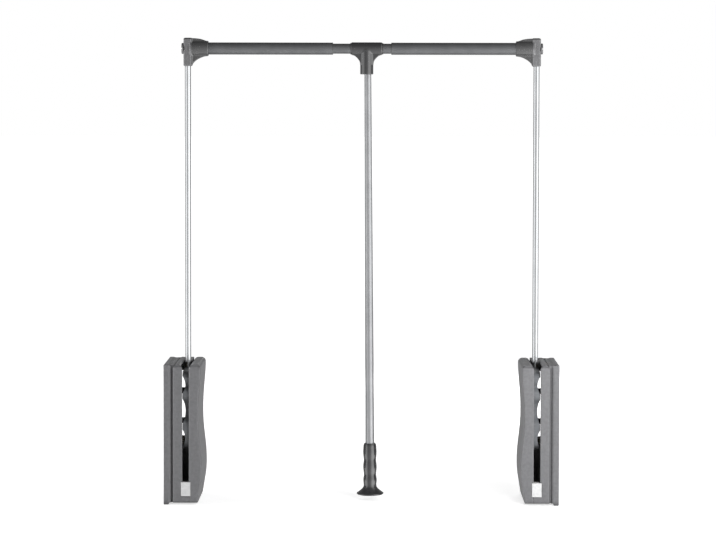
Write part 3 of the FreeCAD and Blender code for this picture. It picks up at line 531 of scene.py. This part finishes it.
# The same plastic from a polished mould: charcoal and glossy, with long soft waves.
gloss, tree, shader, place = blank("polished_charcoal_abs")
shader.inputs["Roughness"].default_value = 0.2
shader.inputs["IOR"].default_value = 1.54
shader.inputs["Specular IOR Level"].default_value = 0.85
shader.inputs["Coat Weight"].default_value = 0.8
shader.inputs["Coat Roughness"].default_value = 0.15
plug_in(tree, shader, Base_Color=mottled(tree, place, ABS_PATCH, "#1c1c1e", "#222224"),
        Normal=pebbled(tree, place, 7.0 * MM, SINK_DEPTH))
tee = skin("tee_moulding", lambda x, y, z: tee_field(x - TEE_AT, y, z - BAR_HEIGHT),
           (TEE_AT - TEE_HALF - MARGIN, -TEE_HALF_DEPTH - MARGIN, BAR_HEIGHT + STEM_FOOT - MARGIN),
           (TEE_AT + TEE_HALF + MARGIN, TEE_HALF_DEPTH + MARGIN, BAR_HEIGHT + STEM_RADIUS + MARGIN))
tee.data.materials.append(gloss)
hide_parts("tee")
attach(tee, "pull_pole")

# ---- Grip ----------------------------------------------------------------------------------------
# The grip is turned-looking but moulded in two halves: a flared foot and three swellings for the
# fingers, in the same ABS, polished.
dress(["grip"], gloss)

# ---- Telescopic bar ------------------------------------------------------------------------------
# Two outer tubes and an inner one, steel under a thin charcoal stove enamel. It is satin, the metal
# still shines through it, and the drawn tube's fine lines stay in it.
bar_enamel, tree, shader, place = blank("stove_enamelled_steel_tube")
shader.inputs["Metallic"].default_value = 0.7
shader.inputs["Roughness"].default_value = 0.34
plug_in(tree, shader, Base_Color=mottled(tree, place, 20.0 * MM, "#717274", "#797a7c"),
        Normal=drawn(tree, place, ALONG_X, 2.0, 0.3, 0.03 * MM))
dress(both("outer_tube") + ["inner_tube"], bar_enamel)

# ---- Pull pole -----------------------------------------------------------------------------------
# Aluminium tube drawn to a slight taper, then brushed along its length and clear anodised.
anodised, tree, shader, place = blank("satin_anodised_aluminium")
shader.inputs["Metallic"].default_value = 1.0
shader.inputs["Roughness"].default_value = 0.5
plug_in(tree, shader, Base_Color=mottled(tree, place, 25.0 * MM, "#b0b1b3", "#b9babc"),
        Normal=drawn(tree, place, ALONG_Z, 3.0, 0.4, 0.03 * MM))
dress(["pull_pole"], anodised)


# ---- Studio --------------------------------------------------------------------------------------
# A white floor, a surround and four softboxes. The surround is white to the eye. What gloss mirrors
# in it is a pale room that darkens overhead, with a bright screen on either side in front.
FLOOR_HALF = 40.0
FLOOR_PAINT = (0.62, 0.62, 0.62, 1.0)
WHITE = (1.0, 1.0, 1.0, 1.0)


def studio_floor():
    """A flat square of floor at height 0. To the eye it brightens to pure white away from the part,
    by its distance from the middle, and keeps only the part's shadow."""
    mesh = bpy.data.meshes.new("floor")
    corners = [(-1, -1, 0), (1, -1, 0), (1, 1, 0), (-1, 1, 0)]
    mesh.from_pydata([FLOOR_HALF * Vector(corner) for corner in corners], [], [(0, 1, 2, 3)])
    floor = bpy.data.objects.new("floor", mesh)
    bpy.context.scene.collection.objects.link(floor)
    material, tree, shader, place = blank("white_painted_floor")
    shader.inputs["Base Color"].default_value = FLOOR_PAINT
    shader.inputs["Roughness"].default_value = 0.9
    shader.inputs["Emission Color"].default_value = WHITE
    away = add(tree, "ShaderNodeVectorMath", {0: place}, operation="LENGTH")
    glow = add(tree, "ShaderNodeMapRange", {"Value": away.outputs["Value"],
                                            "From Min": 0.6, "From Max": 3.0,
                                            "To Min": 0.62, "To Max": 1.0})
    ray = add(tree, "ShaderNodeLightPath")
    lift = add(tree, "ShaderNodeMath", {0: ray.outputs["Is Camera Ray"],
                                        1: glow.outputs["Result"]}, operation="MULTIPLY")
    plug_in(tree, shader, Emission_Strength=lift.outputs["Value"])
    mesh.materials.append(material)
    floor.visible_glossy = False


def surround():
    """World by direction. The eye sees white. Diffuse light comes from all round, more of it from
    below. Gloss mirrors a pale room that darkens overhead. Its front half is brighter towards the
    right and has two screens, which are bands of X: one at the far left, one on the right."""
    world = bpy.data.worlds.new("studio")
    bpy.context.scene.world = world
    world.use_nodes = True
    tree = world.node_tree
    tree.nodes.clear()
    direction = add(tree, "ShaderNodeTexCoord").outputs["Generated"]
    parts = add(tree, "ShaderNodeSeparateXYZ", {"Vector": direction})

    def ramp(axis, start, end, before, after):
        """A level that goes straight from one value to another between two places on an axis."""
        change = add(tree, "ShaderNodeMapRange", {"Value": parts.outputs[axis],
                                                  "From Min": start, "From Max": end,
                                                  "To Min": before, "To Max": after})
        return change.outputs["Result"]

    def joined(operation, *levels):
        """The product or sum of several levels."""
        total = levels[0]
        for level in levels[1:]:
            total = add(tree, "ShaderNodeMath", {0: total, 1: level},
                        operation=operation).outputs["Value"]
        return total

    walls = 0.28            # what gloss mirrors all round
    room_light = 0.32       # what lights matt surfaces from all round
    front_half = ramp("Y", 0.0, 0.3, 1.0, 0.0)
    left_screen = ramp("X", -0.80, -0.60, 0.85, 0.0)
    right_screen = joined("MULTIPLY", ramp("X", 0.30, 0.55, 0.0, 1.2),
                          ramp("X", 0.93, 0.99, 1.0, 0.0))
    front_wall = ramp("X", -0.12, 0.12, 0.26, 0.50)
    front = joined("MULTIPLY", joined("ADD", left_screen, right_screen, front_wall), front_half)
    from_below = ramp("Z", -0.9, 0.9, 1.6, 0.4)
    mirrored = joined("MULTIPLY", joined("ADD", front, walls), from_below)
    diffuse = joined("MULTIPLY", from_below, room_light)
    ray = add(tree, "ShaderNodeLightPath")
    level = add(tree, "ShaderNodeMix", {"Factor": ray.outputs["Is Glossy Ray"],
                                        "A": diffuse, "B": mirrored})
    seen = add(tree, "ShaderNodeMix", {"Factor": ray.outputs["Is Camera Ray"],
                                       "A": level.outputs["Result"], "B": 1.0})
    light = add(tree, "ShaderNodeBackground", {"Color": WHITE, "Strength": seen.outputs["Result"]})
    add(tree, "ShaderNodeOutputWorld", {"Surface": light.outputs["Background"]})


def turn_to(holder, place, aim, roll=0.0):
    """Stands a lamp or camera at a place and points it at another, with a roll in degrees."""
    way = Vector(aim) - Vector(place)
    turn = way.to_track_quat("-Z", "Y").to_matrix().to_4x4()
    spin = Matrix.Rotation(math.radians(roll), 4, "Z")
    holder.matrix_world = Matrix.Translation(place) @ turn @ spin


def softbox(name, place, aim, size, power):
    """A rectangular lamp of a (width, height) in metres and a power in watts that faces a point.
    Gloss doesn't show it."""
    lamp = bpy.data.lights.new(name, "AREA")
    lamp.shape = "RECTANGLE"
    lamp.size, lamp.size_y = size
    lamp.energy = power
    holder = bpy.data.objects.new(name, lamp)
    bpy.context.scene.collection.objects.link(holder)
    holder.visible_glossy = False
    turn_to(holder, place, aim)


studio_floor()
surround()
softbox("key", (0.62, -0.85, 0.48), (0.25, 0.0, 0.4), (0.5, 0.6), 11.0)
softbox("fill", (-1.6, -0.35, 0.5), (0.3, 0.0, 0.4), (0.5, 0.8), 22.0)
softbox("rim", (-1.2, 0.9, 1.0), (0.0, 0.0, 0.75), (0.4, 0.7), 4.0)
softbox("back", (0.5, 1.9, 0.9), (0.0, 0.0, 0.35), (1.2, 0.8), 30.0)
bpy.context.scene.view_settings.view_transform = "Standard"

# The camera stands 4.5 m in front, at seven eighths of the part's height, and looks a little down.
CAMERA_PLACE = (0.0298, -4.5, 0.7447)
CAMERA_DOWN = math.radians(2.562)
CAMERA_LEFT = math.radians(0.47)
CAMERA_ROLL = 0.10
camera_data = bpy.data.cameras.new("camera")
camera_data.sensor_width = 36.0
camera_data.lens = 123.07
camera_data.shift_y = -0.09
camera = bpy.data.objects.new("camera", camera_data)
bpy.context.scene.collection.objects.link(camera)
bpy.context.scene.camera = camera
ahead = Vector((-math.sin(CAMERA_LEFT), math.cos(CAMERA_LEFT), -math.tan(CAMERA_DOWN)))
turn_to(camera, CAMERA_PLACE, Vector(CAMERA_PLACE) + ahead, CAMERA_ROLL)
